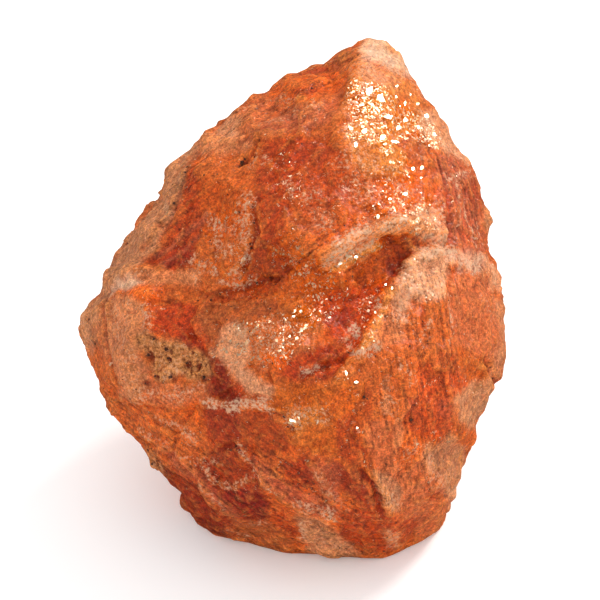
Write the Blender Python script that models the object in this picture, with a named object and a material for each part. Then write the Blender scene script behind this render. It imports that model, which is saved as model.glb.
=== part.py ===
# Rough sunstone: one natural lump of orange feldspar that rests on a small flat spot.
# The lump is described in the plane its widest outline lies in. That plane leans back,
# and each corner is given as (right, up, out towards the front), in millimetres.
import math

import bmesh
import bpy
from mathutils import Matrix, Vector, geometry, noise

MM = 0.001

# Driving sizes, in millimetres and degrees
LEAN_BACK = 38.0        # lean of the outline plane from upright
CENTRE_HEIGHT = 18.5    # outline plane's centre above the resting face
GRAIN = 0.55            # side of the small faces the lump is first laid out in
FACE_COUNT = 8800       # triangles left where the broken surface needs them
OUTLINE_GROWTH = 1.01   # makes up for the rounding of the sharp rim
SNAP = 0.3              # corners this close to the resting face lie on it

# Broken surface: (size of the lumps, how far they stand out)
ROUGHNESS = [(5.0, 0.35), (2.2, 0.22)]

# The widest outline, clockwise from the summit
OUTLINE = {
    "summit": [(6.6, 23.4, -1.5), (8.8, 23.0, -1.8), (9.7, 22.2, -2.0)],
    "right shoulder": [
        (10.8, 19.8, -1.6), (11.7, 18.8, -1.2), (13.0, 17.0, -1.0), (14.0, 15.4, -1.2),
        (14.7, 13.6, -0.8), (16.0, 11.9, -0.6), (16.8, 10.7, -0.8), (17.2, 9.0, -0.6),
        (18.1, 6.9, -0.4), (17.6, 5.6, 0.2),
    ],
    "right side": [
        (17.9, 3.6, 0.0), (18.6, 1.7, -0.4), (18.7, 0.1, 0.2), (19.3, -1.6, 0.0),
        (19.4, -4.8, -0.6), (19.0, -7.3, -0.4), (17.9, -8.2, 0.6), (17.6, -9.8, 0.4),
        (16.7, -10.9, 0.2), (16.3, -13.0, -0.4), (15.7, -13.6, 0.4), (15.7, -15.6, -0.6),
        (14.9, -16.7, -1.0), (14.6, -18.6, -2.4),
    ],
    "foot": [
        (13.9, -20.2, -4.9), (13.3, -21.4, -3.6), (11.7, -22.3, -2.7), (10.0, -23.0, -1.7),
        (8.3, -23.7, -0.7), (4.3, -23.7, -0.9), (1.6, -23.3, -1.4), (-0.6, -23.2, -1.4),
        (-4.2, -22.5, -2.4), (-7.1, -21.8, -3.3),
    ],
    "lower left": [
        (-8.8, -20.2, -3.4), (-10.1, -18.6, -3.0), (-10.5, -17.1, -2.0), (-12.8, -15.1, -1.6),
        (-13.0, -13.4, -0.6), (-15.1, -11.2, -0.8), (-16.4, -10.0, -0.6), (-16.9, -8.4, -0.8),
    ],
    "knob": [(-18.4, -5.1, -0.6), (-19.3, -2.8, 0.0), (-19.1, -1.2, 0.4), (-17.3, 0.4, 0.0)],
    "left side": [
        (-16.2, 3.8, -0.8), (-14.6, 5.3, -0.6), (-13.0, 8.1, -1.2), (-11.9, 8.9, -0.8),
        (-10.6, 11.8, -1.4), (-8.5, 13.9, -1.0),
    ],
    "upper left": [
        (-8.0, 15.0, -1.2), (-6.3, 15.8, -1.4), (-4.7, 17.1, -1.6), (-2.2, 18.5, -1.4),
        (-1.1, 19.7, -1.8), (0.7, 20.5, -1.6), (2.7, 21.2, -1.8), (4.3, 22.5, -1.6),
    ],
}

# Ridges and valleys where the front faces meet, corner by corner
FRONT_CREASES = {
    "crest below the summit": [
        (6.6, 23.4, -1.5), (5.9, 20.1, 5.0), (4.9, 16.8, 8.5), (3.9, 15.4, 9.8),
    ],
    "lower edge of the upper left face": [
        (-8.0, 15.0, -1.2), (-5.4, 13.9, 5.0), (-2.7, 14.7, 7.2), (0.7, 15.1, 8.6),
        (3.9, 15.4, 9.8),
    ],
    "left edge of the summit face": [
        (3.9, 15.4, 9.8), (4.8, 12.5, 11.2), (3.9, 8.4, 12.6), (2.8, 4.0, 13.8),
    ],
    "pale ledge": [
        (2.8, 4.0, 13.8), (5.9, 5.7, 13.0), (10.1, 6.8, 11.2), (13.5, 5.9, 8.6),
        (15.6, 5.7, 5.8), (17.6, 5.6, 0.2),
    ],
    "right lip of the hollow": [
        (13.5, 5.9, 8.6), (10.4, 3.0, 11.0), (8.4, -0.1, 12.8), (6.3, -4.3, 14.2),
        (4.1, -7.8, 14.8),
    ],
    "bottom of the hollow": [
        (9.5, 4.5, 10.4), (7.0, 1.5, 11.4), (4.5, -1.2, 12.6), (3.1, -4.2, 13.4),
        (2.3, -7.0, 14.0),
    ],
    "crevice": [
        (-11.9, 2.7, 7.0), (-9.6, 0.8, 8.0), (-6.6, 0.2, 9.8), (-2.1, 1.4, 11.2),
        (1.4, 2.7, 12.6),
    ],
    "top of the middle bump": [(-4.7, -1.8, 12.4), (-1.5, -2.8, 14.4), (1.2, -4.2, 14.8)],
    "foot of the middle bump": [
        (-6.6, 0.2, 9.8), (-8.7, -2.7, 9.9), (-7.2, -4.8, 10.9), (-6.0, -7.2, 11.6),
        (-4.7, -8.7, 12.0),
    ],
    "crest of the knob": [
        (-17.3, 0.4, 0.0), (-16.2, 1.6, 3.0), (-14.5, 2.7, 5.4), (-11.9, 2.7, 7.0),
    ],
    "edge of the knob's tip": [
        (-16.2, 1.6, 3.0), (-16.7, -1.0, 4.4), (-16.6, -4.2, 4.6), (-15.7, -7.3, 5.4),
    ],
    "top of the knob": [(-12.8, -0.1, 8.8), (-11.9, -3.3, 9.8), (-9.4, -6.3, 10.6)],
    "upper edge of the lower left face": [
        (-15.1, -11.2, -0.8), (-12.8, -10.5, 5.5), (-10.1, -9.6, 8.6), (-7.4, -9.6, 10.4),
        (-4.9, -9.5, 12.0), (-2.1, -9.9, 13.2), (0.0, -11.2, 14.0), (4.1, -7.8, 14.8),
    ],
    "ridge of the lower left face": [
        (-4.9, -13.3, 10.4), (-2.1, -16.1, 10.4), (0.0, -18.5, 9.0), (3.9, -19.8, 7.6),
    ],
    "lip over the lower left overhang": [
        (-13.0, -13.4, -0.6), (-11.2, -14.7, 3.8), (-8.3, -16.3, 5.8), (-6.9, -18.6, 5.4),
        (-4.2, -22.5, -2.4),
    ],
    "left edge of the right face": [
        (4.1, -7.8, 14.8), (5.2, -12.7, 13.8), (6.9, -15.7, 12.2), (8.4, -19.2, 8.6),
        (8.3, -23.7, -0.7),
    ],
    "tan facet": [
        (19.0, -7.3, -0.4), (16.7, -7.8, 5.6), (14.8, -9.0, 8.6), (15.1, -11.8, 7.2),
        (16.3, -13.0, -0.4),
    ],
    "left strip": [
        (-8.5, 13.9, -1.0), (-9.6, 11.0, 4.4), (-11.3, 6.9, 5.6), (-13.7, 3.6, 5.2),
        (-14.5, 2.7, 5.4),
    ],
    "edge of the upper middle face": [
        (-8.0, 15.0, -1.2), (-7.2, 11.6, 6.8), (-6.9, 7.5, 9.0), (-8.6, 4.5, 8.6),
        (-11.9, 2.7, 7.0),
    ],
}

# Corners inside the front faces
FRONT_SWELLS = {
    "summit faces": [(8.8, 18.8, 5.2), (0.7, 17.9, 6.2), (-3.8, 16.5, 4.2)],
    "right shoulder": [(7.9, 13.4, 9.8), (12.4, 12.5, 5.8), (9.7, 9.8, 9.8), (14.2, 9.3, 5.8)],
    "upper middle": [(-3.8, 8.9, 11.2), (0.7, 10.7, 11.8), (-0.2, 6.2, 13.0), (-3.8, 4.4, 11.6)],
    "right face": [
        (16.0, 2.6, 6.2), (17.4, -1.0, 4.8), (17.6, -4.2, 5.0), (12.4, -0.1, 11.6),
        (12.0, -4.6, 12.6), (9.7, -9.1, 13.2), (10.6, -13.6, 11.2), (11.1, -18.1, 7.4),
        (13.1, -16.3, 7.2), (13.3, -18.6, 3.6),
    ],
    "lower middle": [(-0.2, -14.1, 12.0), (2.1, -14.1, 12.8), (5.2, -18.6, 8.4), (1.6, -21.3, 3.4)],
    "lower left": [(-2.9, -19.0, 5.6), (-9.2, -12.7, 7.6), (-12.8, -12.7, 3.4)],
    "knob": [(-14.6, -4.2, 8.0), (-14.1, -8.2, 7.4)],
    "middle bump": [(-1.1, -6.9, 14.2)],
}

# Corners of the back, which breaks into broad flat faces
BACK_CREASES = {
    "back crest": [
        (5.6, 18.6, -7.0), (3.4, 12.6, -12.2), (4.6, 4.6, -15.6), (1.8, -3.8, -17.6),
        (4.6, -10.6, -17.2),
    ],
    "left back edge": [(3.4, 12.6, -12.2), (-4.2, 8.4, -11.8), (-9.4, 0.6, -11.4)],
    "right back edge": [(4.6, 4.6, -15.6), (11.6, 1.2, -13.6), (15.2, -5.4, -8.6)],
}
BACK_SWELLS = {
    "upper": [(9.4, 13.8, -8.2), (-2.6, 15.2, -6.4), (-8.6, 8.4, -7.4)],
    "middle": [(13.8, 6.6, -8.6), (-3.4, 1.4, -15.4), (-13.8, -2.6, -7.6)],
    "lower": [(11.0, -9.4, -14.6), (-7.4, -7.6, -14.2), (-12.6, -9.8, -6.6), (12.4, -15.6, -9.0)],
    "underside": [(-6.0, -14.4, -12.6), (4.2, -16.8, -14.0)],
}


def corner(place):
    right, up, out = place
    return Vector((right * OUTLINE_GROWTH, up * OUTLINE_GROWTH, out))


def all_corners(groups):
    return [corner(place) for group in groups.values() for place in group]


# Triangles between the outline and the corners inside it, with every crease kept as an edge.
def relief(creases, swells):
    corners = all_corners(OUTLINE)
    count = len(corners)
    rim = list(range(count))
    edges = [(here, (here + 1) % count) for here in rim]
    for line in creases.values():
        start = len(corners)
        corners += [corner(place) for place in line]
        edges += [(here, here + 1) for here in range(start, len(corners) - 1)]
    corners += all_corners(swells)
    flat = [Vector((point.x, point.y)) for point in corners]
    _, _, faces, sources, _, _ = geometry.delaunay_2d_cdt(flat, edges, [rim], 1, 0.01)
    points = [corners[min(source)] for source in sources]
    return points, faces, [min(source) < count for source in sources]


# The front and the back share the corners of the outline.
def closed_lump():
    bm = bmesh.new()
    shared = {}
    for creases, swells, turned in ((FRONT_CREASES, FRONT_SWELLS, False),
                                    (BACK_CREASES, BACK_SWELLS, True)):
        points, faces, on_rim = relief(creases, swells)
        verts = []
        for point, is_rim in zip(points, on_rim):
            key = tuple(round(value, 3) for value in point)
            vert = shared.get(key) if is_rim else None
            if vert is None:
                vert = bm.verts.new(point)
            if is_rim:
                shared[key] = vert
            verts.append(vert)
        for face in faces:
            ring = [verts[index] for index in face]
            bm.faces.new(ring[::-1] if turned else ring)
    bmesh.ops.recalc_face_normals(bm, faces=bm.faces)
    return bm


# Turns the lump from its outline plane to the way it rests.
def stand_up(bm):
    lean = math.radians(LEAN_BACK)
    right = Vector((1, 0, 0))
    up = Vector((0, math.sin(lean), math.cos(lean)))
    out = Vector((0, -math.cos(lean), math.sin(lean)))
    turn = Matrix((right, up, out)).transposed().to_4x4()
    lift = Matrix.Translation((0, 0, CENTRE_HEIGHT))
    bmesh.ops.transform(bm, matrix=lift @ turn, verts=bm.verts)


# The lump as one modifier leaves it.
def after_modifier(bm, kind, **settings):
    before = bpy.data.meshes.new("before")
    bm.to_mesh(before)
    bm.free()
    holder = bpy.data.objects.new("before", before)
    bpy.context.scene.collection.objects.link(holder)
    modifier = holder.modifiers.new("step", kind)
    for name, value in settings.items():
        setattr(modifier, name, value)
    after = bmesh.new()
    after.from_object(holder, bpy.context.evaluated_depsgraph_get())
    bpy.data.objects.remove(holder)
    bpy.data.meshes.remove(before)
    return after


# Lays the surface out in small even faces, which also rounds the sharpest edges.
def even_faces(bm):
    return after_modifier(bm, "REMESH", mode="VOXEL", voxel_size=GRAIN)


# Keeps small faces only where the surface bends.
def fewer_faces(bm):
    bmesh.ops.triangulate(bm, faces=bm.faces)
    return after_modifier(bm, "DECIMATE", ratio=FACE_COUNT / len(bm.faces))


def roughen(bm):
    bm.normal_update()
    for vert in bm.verts:
        height = sum(depth * noise.noise(vert.co / size) for size, depth in ROUGHNESS)
        vert.co += vert.normal * height


# Cuts the flat resting spot and closes it.
def cut_resting_face(bm):
    for vert in bm.verts:
        if abs(vert.co.z) < SNAP:
            vert.co.z = 0.0
    everything = bm.verts[:] + bm.edges[:] + bm.faces[:]
    bmesh.ops.bisect_plane(bm, geom=everything, dist=0.001, plane_co=(0, 0, 0),
                           plane_no=(0, 0, 1), clear_inner=True)
    loose = [vert for vert in bm.verts if not vert.link_faces]
    bmesh.ops.delete(bm, geom=loose, context="VERTS")
    rim = [edge for edge in bm.edges if edge.is_boundary]
    bmesh.ops.contextual_create(bm, geom=rim)
    bmesh.ops.triangulate(bm, faces=bm.faces)
    bmesh.ops.recalc_face_normals(bm, faces=bm.faces)


# The origin is the bottom centre of the stone's box.
def centre_on_base(bm):
    middle = Vector((0, 0, 0))
    for axis in (0, 1):
        values = [vert.co[axis] for vert in bm.verts]
        middle[axis] = (min(values) + max(values)) / 2
    bmesh.ops.translate(bm, vec=-middle, verts=bm.verts)
    bmesh.ops.scale(bm, vec=(MM, MM, MM), verts=bm.verts)


def stone_material():
    material = bpy.data.materials.new("orange feldspar")
    material.use_nodes = True
    shader = material.node_tree.nodes["Principled BSDF"]
    shader.inputs["Base Color"].default_value = (0.55, 0.13, 0.03, 1)
    shader.inputs["Roughness"].default_value = 0.45
    shader.inputs["Metallic"].default_value = 0.0
    return material


def build_stone():
    bm = closed_lump()
    stand_up(bm)
    bm = even_faces(bm)
    roughen(bm)
    bm = fewer_faces(bm)
    cut_resting_face(bm)
    centre_on_base(bm)
    mesh = bpy.data.meshes.new("sunstone")
    bm.to_mesh(mesh)
    bm.free()
    mesh.materials.append(stone_material())
    stone = bpy.data.objects.new("sunstone", mesh)
    bpy.context.scene.collection.objects.link(stone)
    return stone


for old in list(bpy.data.objects):
    bpy.data.objects.remove(old)
build_stone()
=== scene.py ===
import math

import bmesh
import bpy
import numpy as np
from mathutils import Matrix, Vector
from mathutils.bvhtree import BVHTree


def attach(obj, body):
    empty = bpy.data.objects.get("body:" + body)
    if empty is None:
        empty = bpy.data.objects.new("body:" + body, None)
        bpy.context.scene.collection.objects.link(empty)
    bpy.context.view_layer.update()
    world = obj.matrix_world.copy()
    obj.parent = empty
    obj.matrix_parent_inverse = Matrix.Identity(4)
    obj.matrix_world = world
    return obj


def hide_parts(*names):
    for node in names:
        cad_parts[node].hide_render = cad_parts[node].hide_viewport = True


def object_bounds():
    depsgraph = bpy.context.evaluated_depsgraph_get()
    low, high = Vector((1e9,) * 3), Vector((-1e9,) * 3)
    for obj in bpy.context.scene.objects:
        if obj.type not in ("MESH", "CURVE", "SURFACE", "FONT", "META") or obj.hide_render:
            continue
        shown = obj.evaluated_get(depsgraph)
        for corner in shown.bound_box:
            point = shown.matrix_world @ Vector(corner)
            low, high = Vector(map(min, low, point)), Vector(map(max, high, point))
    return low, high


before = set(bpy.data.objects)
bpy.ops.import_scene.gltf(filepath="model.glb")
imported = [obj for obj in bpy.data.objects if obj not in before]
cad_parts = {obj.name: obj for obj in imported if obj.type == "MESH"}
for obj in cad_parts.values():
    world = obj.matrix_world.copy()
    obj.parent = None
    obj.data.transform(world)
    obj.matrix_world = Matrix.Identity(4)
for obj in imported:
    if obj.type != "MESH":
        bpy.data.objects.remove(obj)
cadLow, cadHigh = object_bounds()
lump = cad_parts["sunstone"]
print("frame loaded")

# sizes are millimetres unless they say otherwise, and places on the stone are picture pixels
mm = 0.001

picture = {
    "width": 600,
    "elevation": 38.0,          # degrees above the table
    "distance": 400.0,
    "pixel": 0.09,              # what one picture pixel covers at the aimed point
    "aim": (0.63, 0.70, 18.48),
    "softbox": (0.53, 0.43, 0.72),      # the way from the stone to the softbox
}
lift = math.radians(picture["elevation"])
viewRight = np.array((1.0, 0.0, 0.0))
viewUp = np.array((0.0, math.sin(lift), math.cos(lift)))
viewOut = np.array((0.0, -math.cos(lift), math.sin(lift)))
aim = np.array(picture["aim"])
eye = aim + viewOut * picture["distance"]


def unit(vectors):
    return vectors / np.linalg.norm(vectors, axis=-1, keepdims=True)


# the flat crystal faces that flash all lie this way round
flashFacing = unit(unit(np.array(picture["softbox"])) + viewOut)


def lattice(cells, seed):
    # scrambles whole-number cell coordinates into one value from 0 to 1
    whole = cells.astype(np.int64)
    mixed = (whole[..., 0] * 73856093) ^ (whole[..., 1] * 19349663) ^ (whole[..., 2] * 83492791)
    mixed = (mixed ^ (seed * 2654435761)) & 0xffffffff
    mixed = ((mixed ^ (mixed >> 15)) * 2246822519) & 0xffffffff
    mixed = ((mixed ^ (mixed >> 13)) * 3266489917) & 0xffffffff
    return ((mixed ^ (mixed >> 16)) & 0xffffff) / 0xffffff


def softNoise(points, size, seed):
    # values on the corners of cubes of that size, blended smoothly inside each cube, from -1 to 1
    scaled = points / size + 100
    cell = np.floor(scaled)
    part = scaled - cell
    part = part * part * (3 - 2 * part)
    total = 0
    for corner in np.ndindex(2, 2, 2):
        weight = np.prod(np.where(corner, part, 1 - part), axis=-1)
        total = total + weight * lattice(cell + corner, seed)
    return total * 2 - 1


def cloud(points, size, seed, octaves=3):
    # soft noise plus copies of it at half the size and half the strength
    return sum(softNoise(points, size / 2 ** k, seed + k) / 2 ** k for k in range(octaves)) / 1.6


def drift(points, size, seed):
    # a smooth push, in another direction at every place
    return np.stack([softNoise(points, size, seed + k) for k in range(3)], -1)


def flatNoise(points, size, seed):
    # values on the corners of turned cubes, blended in straight lines over the six wedges of
    # each cube: little flat faces that meet in sharp edges, from -1 to 1
    turn = np.array(Matrix.Rotation(seed * 1.3, 3, Vector((0.4, 0.7, 0.5 + seed % 3))))
    scaled = points @ turn / size + 100
    cell = np.floor(scaled)
    part = scaled - cell
    order = np.argsort(-part, axis=1)
    steps = np.take_along_axis(part, order, axis=1)
    steps = np.concatenate([np.ones((len(points), 1)), steps, np.zeros((len(points), 1))], 1)
    total = lattice(cell, seed) * (steps[:, 0] - steps[:, 1])
    rows = np.arange(len(points))
    for k in range(3):
        cell[rows, order[:, k]] += 1
        total += lattice(cell, seed) * (steps[:, k + 1] - steps[:, k + 2])
    return total * 2 - 1


def chips(points, size, seed):
    # each scattered centre owns the points nearest to it, and every point gets the height of its
    # owner's own tilted plane, the owner's random value and how far away the owner is
    cell = np.floor(points / size)
    nearest = np.full(len(points), 1e9)
    height = np.zeros(len(points))
    pick = np.zeros(len(points))
    for step in np.ndindex(3, 3, 3):
        owner = cell + step - 1
        jitter = np.stack([lattice(owner, seed + k) for k in range(3)], -1)
        tilt = np.stack([lattice(owner, seed + k) for k in range(3, 6)], -1) * 2 - 1
        gap = points - (owner + jitter) * size
        away = (gap * gap).sum(-1)
        height = np.where(away < nearest, (gap * tilt).sum(-1), height)
        pick = np.where(away < nearest, lattice(owner, seed + 6), pick)
        nearest = np.minimum(away, nearest)
    return height, pick, np.sqrt(nearest) / size


def smooth(values, low, high):
    # 0 below low, 1 above high, an S curve between
    part = np.clip((values - low) / (high - low), 0, 1)
    return part * part * (3 - 2 * part)


def cubeBall(steps):
    # a grid on each side of a cube, its spacing evened with a tangent, pushed out to a unit ball
    line = np.tan(np.linspace(-1, 1, steps + 1) * math.pi / 4)
    first, other = np.meshgrid(line, line, indexing="ij")
    corners, quads = [], []
    index = np.arange((steps + 1) ** 2).reshape(steps + 1, steps + 1)
    square = np.stack([index[:-1, :-1], index[1:, :-1], index[1:, 1:], index[:-1, 1:]], -1)
    for axis in range(3):
        for side in (-1, 1):
            spot = np.empty(first.shape + (3,))
            spot[..., axis] = side
            spot[..., (axis + 1) % 3] = first
            spot[..., (axis + 2) % 3] = other * side
            quads.append(square.reshape(-1, 4) + len(corners) * index.size)
            corners.append(spot.reshape(-1, 3))
    corners = unit(np.concatenate(corners))
    _, keep, back = np.unique(np.round(corners * 1e5).astype(np.int64), axis=0,
                              return_index=True, return_inverse=True)
    return corners[keep], back.reshape(-1)[np.concatenate(quads)]


def pieceFrom(name, points, faces):
    mesh = bpy.data.meshes.new(name)
    mesh.from_pydata((points * mm).tolist(), [], faces)
    mesh.update()
    piece = bpy.data.objects.new(name, mesh)
    bpy.context.scene.collection.objects.link(piece)
    return piece


def pointsOf(mesh):
    flat = np.empty(len(mesh.vertices) * 3)
    mesh.vertices.foreach_get("co", flat)
    return flat.reshape(-1, 3) / mm


def normalsOf(points, quads):
    # each face's normal from its diagonals, added up at its corners
    across = np.cross(points[quads[:, 2]] - points[quads[:, 0]],
                      points[quads[:, 3]] - points[quads[:, 1]])
    return unit(np.stack([np.bincount(quads.ravel(), np.repeat(across[:, k], 4), len(points))
                          for k in range(3)], -1))


def relax(values, quads, share, passes):
    # moves every value part of the way to the average of its neighbours along the edges
    start = quads.ravel()
    end = np.roll(quads, -1, axis=1).ravel()
    count = np.bincount(start, minlength=len(values)) + np.bincount(end, minlength=len(values))
    for _ in range(passes):
        around = np.stack([np.bincount(start, values[end, k], len(values))
                           + np.bincount(end, values[start, k], len(values))
                           for k in range(values.shape[1])], -1)
        values = values + share * (around / count[:, None] - values)
    return values


def mergedLump():
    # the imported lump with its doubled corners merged, to measure and to wrap the fine skin onto
    bm = bmesh.new()
    bm.from_mesh(lump.data)
    bmesh.ops.remove_doubles(bm, verts=bm.verts, dist=1e-6)
    mesh = bpy.data.meshes.new("mergedLump")
    bm.to_mesh(mesh)
    tree = BVHTree.FromBMesh(bm)
    bm.free()
    copy = bpy.data.objects.new("mergedLump", mesh)
    bpy.context.scene.collection.objects.link(copy)
    return copy, tree


lumpCopy, lumpTree = mergedLump()


def inPicture(x, y):
    # the place that pixel x, y has in the upright plane through the aimed point
    half = picture["width"] / 2
    return aim + (viewRight * (x - half) + viewUp * (half - y)) * picture["pixel"]


def onStone(x, y, tree=lumpTree):
    # the point of the stone that the picture shows at pixel x, y
    target = inPicture(x, y)
    hit, _, _, _ = tree.ray_cast(Vector(eye * mm), Vector(target - eye).normalized())
    if hit is None:
        hit, _, _, _ = tree.find_nearest(Vector(target * mm))
    return np.array(hit) / mm


def awayFrom(points, places):
    # distance from each point to the nearest place on a line through the places
    if len(places) == 1:
        return np.linalg.norm(points - places[0], axis=1)
    away = np.full(len(points), 1e9)
    for start, end in zip(places[:-1], places[1:]):
        run = end - start
        along = np.clip((points - start) @ run / (run @ run), 0, 1)
        away = np.minimum(away, np.linalg.norm(points - start - along[:, None] * run, axis=1))
    return away


stone = {
    "steps": 128,                     # grid squares along each side of the cube
    "frontShare": 0.2,                # how much closer the grid is on the pictured side
    "middle": (0.8, -2.0, 17.0),      # where the skin is seen from when it is wrapped
    "ball": 34.0,
    "relaxPasses": 3,
    # (size of the flat faces, height)
    "faces": [(5.2, 0.14), (2.5, 0.17), (1.2, 0.16), (0.6, 0.08)],
    # (size of the chips, how steeply they tilt)
    "chips": [(3.4, 0.06), (1.5, 0.10)],
    "bump": (0.9, 0.05),
    "cobble": (1.7, 0.30),            # size and height of the rounded knobs
    "groove": (0.5, 5.0, 0.03),       # width, length and depth of the grooves between the sheets
    "carving": 1.2,                   # how boldly ridges and crevices are cut
    "flatBelow": 1.2,
}

plates = {
    "seed": 8,
    "thick": 0.35,
    "proud": 0.04,
    # place, length and width in pixels, turn in the picture in degrees
    "placed": [
        (369, 91, 17, 8, 62), (381, 98, 14, 9, 70), (388, 117, 9, 6, 20), (397, 128, 9, 7, 60),
        (405, 120, 8, 5, 75), (364, 131, 9, 6, 50), (382, 138, 10, 6, 35), (395, 142, 9, 4, 10),
        (356, 145, 9, 4, 75), (384, 144, 7, 4, 5), (418, 128, 7, 5, 40), (426, 116, 7, 5, 20),
        (434, 135, 7, 5, 60), (413, 169, 7, 4, 70), (422, 168, 6, 4, 60), (421, 178, 5, 2, 40),
        (405, 194, 7, 4, 35), (390, 199, 5, 3, 10), (378, 217, 7, 3, 80), (397, 86, 6, 3, 40),
        (405, 103, 8, 3, 70), (396, 97, 5, 3, 60), (410, 95, 6, 3, 50), (417, 104, 5, 4, 45),
        (351, 129, 6, 5, 20), (244, 258, 9, 4, 55), (249, 340, 8, 4, 50), (243, 349, 7, 3, 65),
        (293, 421, 7, 4, 10), (299, 418, 5, 3, 80), (318, 420, 6, 3, 80), (346, 373, 6, 3, 80),
        (356, 382, 5, 3, 20), (357, 428, 4, 3, 60), (340, 263, 8, 4, 45), (356, 257, 6, 3, 30),
        (307, 265, 4, 3, 30), (386, 285, 4, 3, 30), (392, 288, 6, 2, 60), (112, 363, 5, 3, 60),
    ],
    "scattered": 140,
    "length": (0.08, 0.26),
    "spread": 0.14,
}

# thin sheets the stone splits into: path, radius, picture direction of the edges, sheet, strength
sheets = [
    ([(140, 425), (200, 465), (260, 510)], 52, (0.82, 0.57), 0.8, 0.9),
    ([(215, 130), (290, 100), (350, 62)], 36, (0.84, -0.54), 0.7, 0.8),
    ([(190, 185), (165, 250)], 30, (0.75, -0.66), 0.7, 0.8),
    ([(320, 250), (380, 232), (430, 226)], 26, (0.95, -0.30), 0.6, 0.8),
    ([(440, 160), (465, 200), (470, 250)], 34, (0.20, 0.98), 0.8, 0.8),
    ([(430, 300), (425, 380), (400, 470)], 62, (0.16, 0.98), 1.0, 0.6),
    ([(262, 455), (300, 500), (340, 520)], 30, (0.82, 0.57), 0.7, 0.8),
    ([(230, 535), (290, 545), (350, 550)], 22, (0.98, 0.18), 0.5, 0.8),
]

# path, radius, height: narrow ridges stand out, crevices go in
ridges = [
    ([(112, 283), (131, 268), (160, 266)], 7, 0.35),
    ([(323, 252), (358, 236), (404, 224), (440, 233)], 7, 0.45),
    ([(435, 252), (408, 266), (388, 300), (364, 344), (342, 380)], 7, 0.40),
    ([(205, 402), (238, 402), (269, 408), (292, 421)], 5, 0.30),
    ([(238, 446), (262, 470), (292, 504), (330, 519)], 6, 0.30),
    ([(150, 440), (180, 452), (200, 470), (212, 500)], 6, 0.30),
    ([(203, 136), (232, 142), (262, 137), (300, 131)], 6, 0.20),
    ([(362, 50), (352, 90), (344, 118)], 6, 0.25),
    ([(206, 306), (196, 322), (204, 345), (214, 356)], 5, 0.25),
    ([(316, 452), (322, 480), (330, 500)], 5, 0.30),
    ([(372, 478), (384, 492), (390, 510)], 5, 0.35),
    ([(202, 458), (214, 478), (236, 487), (254, 476)], 4, 0.20),
]
crevices = [
    ([(208, 298), (219, 292), (240, 288), (262, 281), (276, 280)], 3, -0.22),
    ([(276, 280), (292, 268), (306, 258)], 3, -0.20),
    ([(252, 205), (255, 232), (250, 250), (243, 268)], 3, -0.28),
    ([(240, 163), (250, 157), (260, 142)], 3, -0.28),
    ([(192, 332), (206, 350), (216, 360)], 4, -0.30),
    ([(212, 376), (226, 394), (238, 400)], 5, -0.25),
    ([(305, 375), (322, 368), (340, 360), (352, 352)], 3, -0.30),
    ([(275, 414), (285, 418), (292, 428)], 3, -0.30),
    ([(222, 450), (236, 446), (246, 455)], 3, -0.28),
    ([(362, 472), (374, 488), (383, 512)], 4, -0.40),
    ([(118, 380), (108, 345), (103, 310), (110, 288)], 4, -0.30),
    ([(150, 300), (162, 296), (178, 306)], 3, -0.25),
    ([(430, 500), (445, 496), (452, 488)], 3, -0.30),
    ([(488, 362), (492, 378), (500, 384)], 4, -0.35),
    ([(441, 160), (446, 185), (450, 215), (450, 240)], 4, -0.25),
    ([(186, 168), (174, 205), (160, 238)], 4, -0.30),
    ([(386, 238), (400, 256), (397, 272)], 6, -0.25),
]

# dark pits: place and radius
pits = [
    (166, 349, 4.0), (168, 358, 3.0), (187, 363, 3.6), (148, 355, 4.6), (155, 376, 3.0),
    (172, 377, 4.0), (145, 384, 3.2), (153, 339, 2.6), (200, 365, 3.4), (204, 377, 4.0),
    (193, 352, 2.0), (178, 345, 1.8), (160, 368, 2.0), (212, 370, 2.2), (89, 320, 3.0),
    (130, 399, 2.4), (364, 397, 2.4), (411, 420, 2.4), (492, 379, 2.6), (308, 483, 2.8),
    (313, 490, 2.2), (152, 464, 2.6), (148, 451, 2.4), (187, 168, 3.2), (174, 203, 2.6),
    (127, 243, 2.4), (243, 161, 3.4), (256, 156, 2.4), (260, 140, 2.0), (251, 248, 2.8),
    (236, 447, 3.0), (95, 344, 2.4), (270, 279, 2.4),
]


def strokeShare(path, radius, number, edge=0.9, ragged=0.55):
    # 1 on the path, 0 beyond the radius (in pixels); mottling pushes the border in and out
    places = [onStone(*spot) for spot in path]
    return shareNear(places, radius * picture["pixel"], number, edge, ragged)


def shareNear(places, size, number, edge=0.9, ragged=0.55):
    away = awayFrom(paintPlaces, places)
    field = mottles[0 if size < 0.6 else 1 if size < 1.5 else 2]
    away = away + size * ragged * field * (1 if number % 2 else -1)
    return smooth(-away, -size * (1 + edge / 2), -size * (1 - edge / 2))


def wrappedSkin():
    # the ball's points slide straight in until they meet the lump
    rays, quads = cubeBall(stone["steps"])
    rays = unit(rays + stone["frontShare"] * viewOut)
    ball = pieceFrom("ball", rays * stone["ball"] + np.array(stone["middle"]), quads.tolist())
    wrap = ball.modifiers.new("onto the lump", "SHRINKWRAP")
    wrap.target = lumpCopy
    wrap.wrap_method = "PROJECT"
    wrap.use_negative_direction = True
    wrap.use_positive_direction = False
    seen = ball.evaluated_get(bpy.context.evaluated_depsgraph_get())
    points = pointsOf(seen.data)
    bpy.data.objects.remove(ball)
    return relax(points, quads, 0.6, stone["relaxPasses"]), quads


rest, quads = wrappedSkin()
restNormals = normalsOf(rest, quads)
paintPlaces = rest + 0.28 * drift(rest, 2.4, 11) + 0.16 * drift(rest, 0.7, 15)
mottles = [cloud(rest, 0.7, 21), cloud(rest, 1.5, 25), cloud(rest, 3.6, 29)]
print("skin wrapped", len(rest), "points")


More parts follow.
